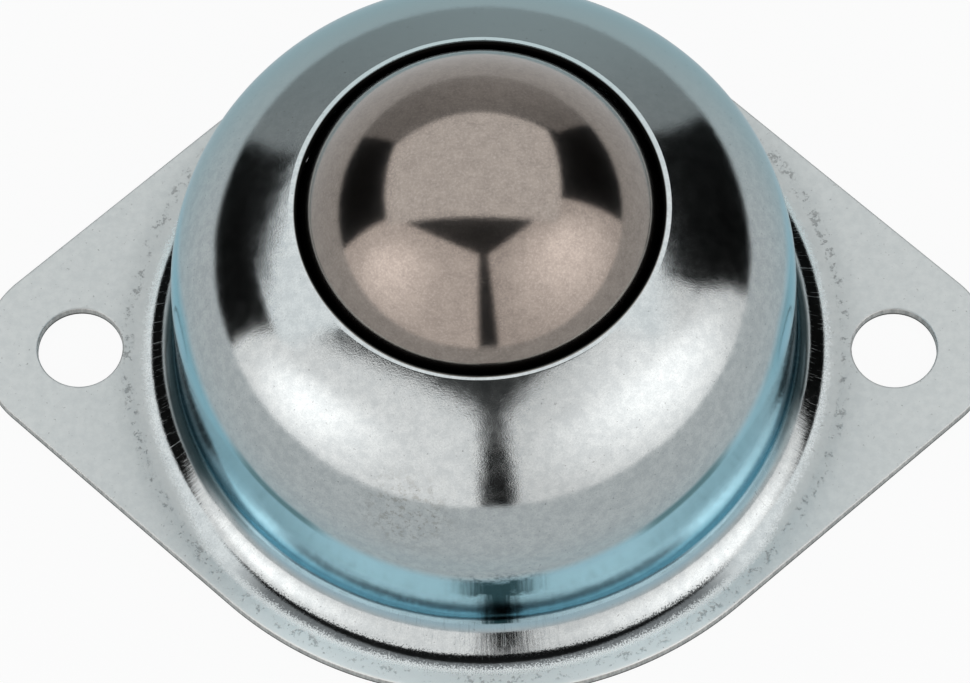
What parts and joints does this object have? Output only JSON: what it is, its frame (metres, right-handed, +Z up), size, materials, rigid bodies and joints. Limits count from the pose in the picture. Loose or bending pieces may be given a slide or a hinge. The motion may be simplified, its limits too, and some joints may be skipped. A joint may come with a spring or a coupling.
{
  "type": "ball transfer unit",
  "caption": "Ball transfer unit: a pressed steel housing with a two-hole diamond flange holds a free-rolling ball on a cup of load balls.",
  "frame": {"origin": "centre of the mounting face, under the flange, on the main ball's vertical axis", "axes": "+X through the two fixing holes, +Z up through the main ball, away from the mounting face"},
  "size_m": [0.069, 0.0508, 0.0302],
  "materials": {
    "housing": "zinc plated, pale blue passivated, drawn and pressed",
    "cup": "hardened, plain",
    "main_ball": "hardened carbon steel, ground, used",
    "load_ball": "ground bearing balls"
  },
  "bodies": {
    "base": {"housing": "housing", "ball_cup": "cup"},
    "swivel": {"centre_load_ball": "load_ball"},
    "ball": {"main_ball": "main_ball"},
    "load_balls": {"ring1_ball_1": "load_ball", "ring1_ball_2": "load_ball", "ring1_ball_3": "load_ball", "ring1_ball_4": "load_ball", "ring1_ball_5": "load_ball", "ring1_ball_6": "load_ball", "ring2_ball_1": "load_ball", "ring2_ball_2": "load_ball", "ring2_ball_3": "load_ball", "ring2_ball_4": "load_ball", "ring2_ball_5": "load_ball", "ring2_ball_6": "load_ball", "ring2_ball_7": "load_ball", "ring2_ball_8": "load_ball", "ring2_ball_9": "load_ball", "ring2_ball_10": "load_ball", "ring2_ball_11": "load_ball", "ring2_ball_12": "load_ball", "ring3_balls": "load_ball", "ring4_balls": "load_ball", "ring5_balls": "load_ball", "ring6_balls": "load_ball"}
  },
  "joints": [
    {"name": "ball_swivel", "type": "hinge", "parent": "base", "child": "swivel", "pos_m": [0, 0, 0.01747], "axis": [0, 0, 1], "continuous": true},
    {"name": "ball_roll", "type": "hinge", "parent": "swivel", "child": "ball", "pos_m": [0, 0, 0.01747], "axis": [1, 0, 0], "continuous": true},
    {"name": "load_ball_orbit", "type": "hinge", "parent": "base", "child": "load_balls", "pos_m": [0, 0, 0.01747], "axis": [0, 0, 1], "continuous": true}
  ],
  "couplings": [
    {"joint": "load_ball_orbit", "follows": "ball_swivel", "ratio": 0.4432}
  ]
}
